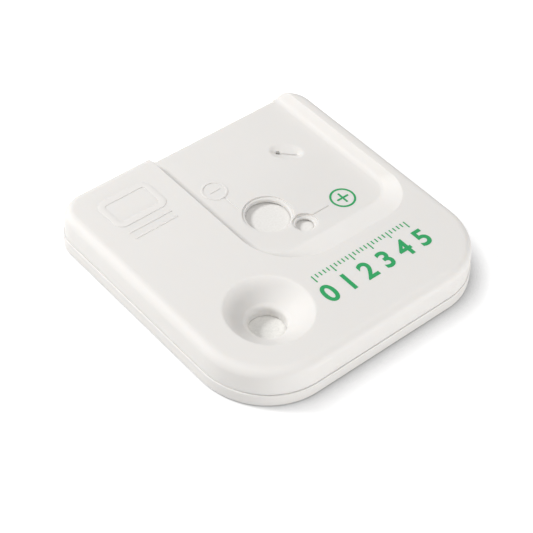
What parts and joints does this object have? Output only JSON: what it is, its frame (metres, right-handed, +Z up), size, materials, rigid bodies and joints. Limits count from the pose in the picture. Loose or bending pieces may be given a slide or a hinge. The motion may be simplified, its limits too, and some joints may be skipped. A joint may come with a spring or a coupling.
{
  "type": "lateral flow test cassette",
  "caption": "Flat square test cassette in two pressed mouldings, with a funnel sample well, two round windows and an end slot in a sunk reading area, over a diagonal test strip.",
  "frame": {"origin": "middle of the underside, on the surface that the cassette rests on", "axes": "+X the reading direction, towards the right of the cassette; +Y away from the reader, towards the open end of the reading area; +Z up"},
  "size_m": [0.06, 0.0602, 0.0087],
  "materials": {
    "housing_plastic": "satin off-white polystyrene",
    "membrane": "matt white nitrocellulose",
    "pad_fibre": "matt fibrous white",
    "card": "white plastic card"
  },
  "bodies": {
    "root": {"top_cover": "housing_plastic", "base_tray": "housing_plastic", "nitrocellulose_membrane": "membrane", "sample_pad": "pad_fibre", "conjugate_pad": "pad_fibre", "absorbent_pad": "pad_fibre", "backing_card": "card"}
  },
  "joints": []
}
